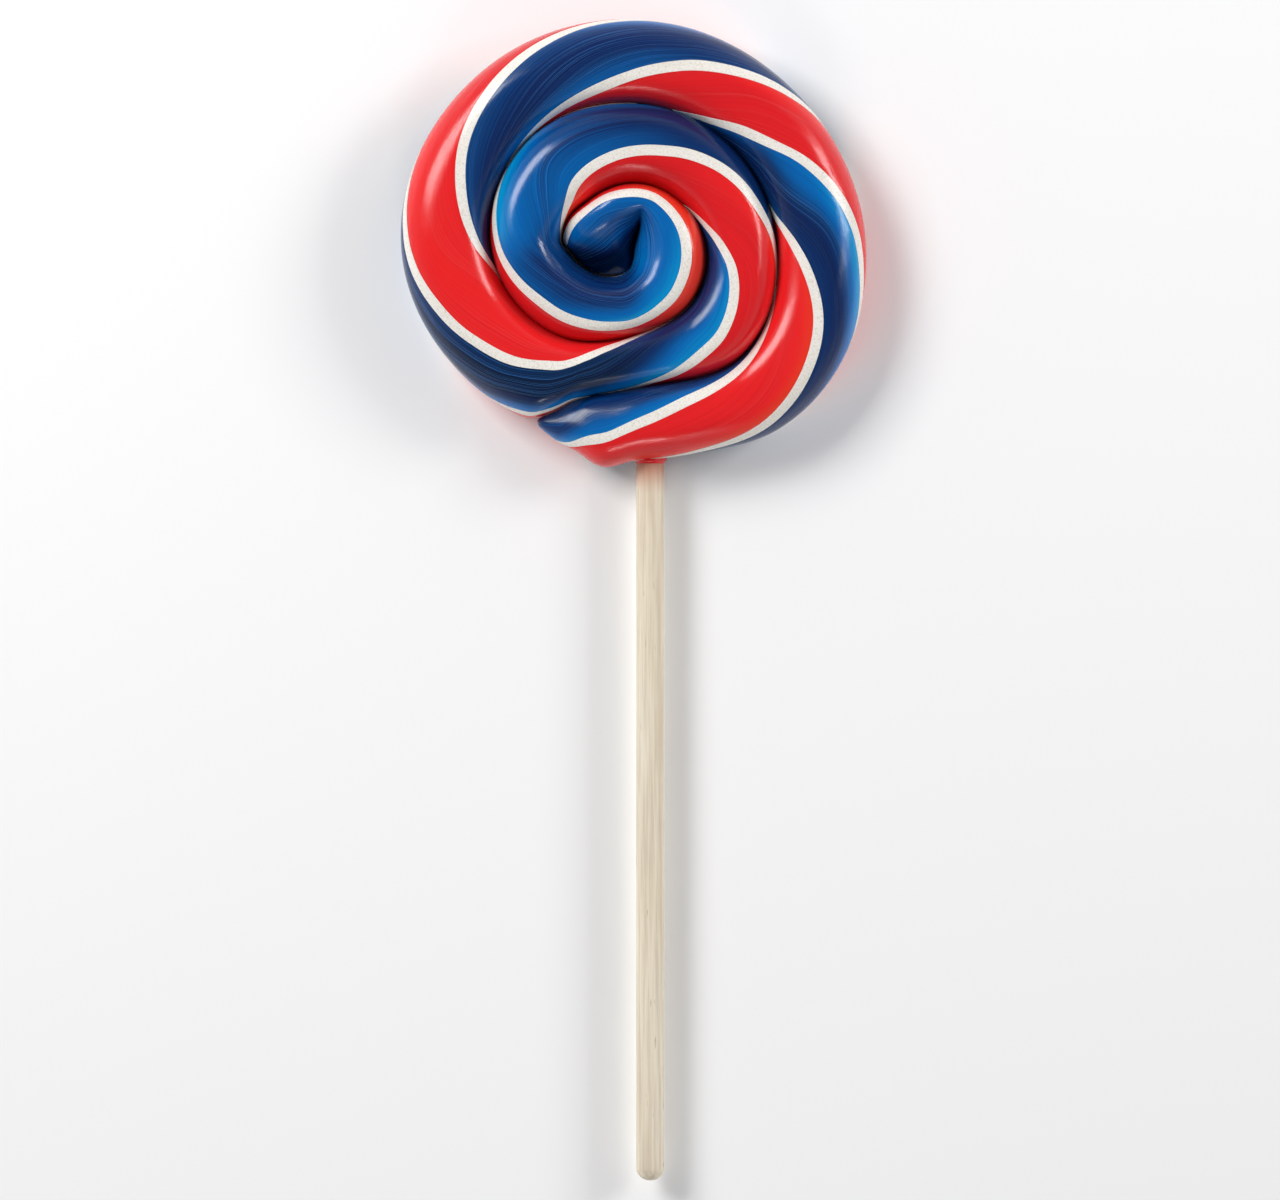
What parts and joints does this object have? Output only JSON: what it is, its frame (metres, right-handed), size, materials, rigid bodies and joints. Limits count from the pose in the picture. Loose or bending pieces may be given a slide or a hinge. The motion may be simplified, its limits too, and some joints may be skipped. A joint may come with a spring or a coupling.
{
  "type": "swirl lollipop",
  "caption": "Spiral lollipop: a thick twisted candy rope, striped red, white and blue, coiled flat on a plain round wooden stick.",
  "frame": {"origin": "on the flat back of the candy head, on the stick's line, under the innermost turn just above the eye of the coil", "axes": "+Z out of the shown face, away from the surface it lies on; -Y along the stick, from the head to the stick's free end; +X to the right as the shown face is looked at with the stick pointing down"},
  "size_m": [0.073, 0.1824, 0.0138],
  "materials": {
    "white_candy": "opaque boiled sugar, satin",
    "red_candy": "clear-coloured boiled sugar, glossy",
    "blue_candy": "clear-coloured boiled sugar, glossy",
    "wood": "plain turned birch, unvarnished"
  },
  "bodies": {
    "root": {"candy_core": "white_candy", "red_strip_1": "red_candy", "red_strip_2": "red_candy", "blue_strip_1": "blue_candy", "blue_strip_2": "blue_candy", "stick": "wood"}
  },
  "joints": []
}
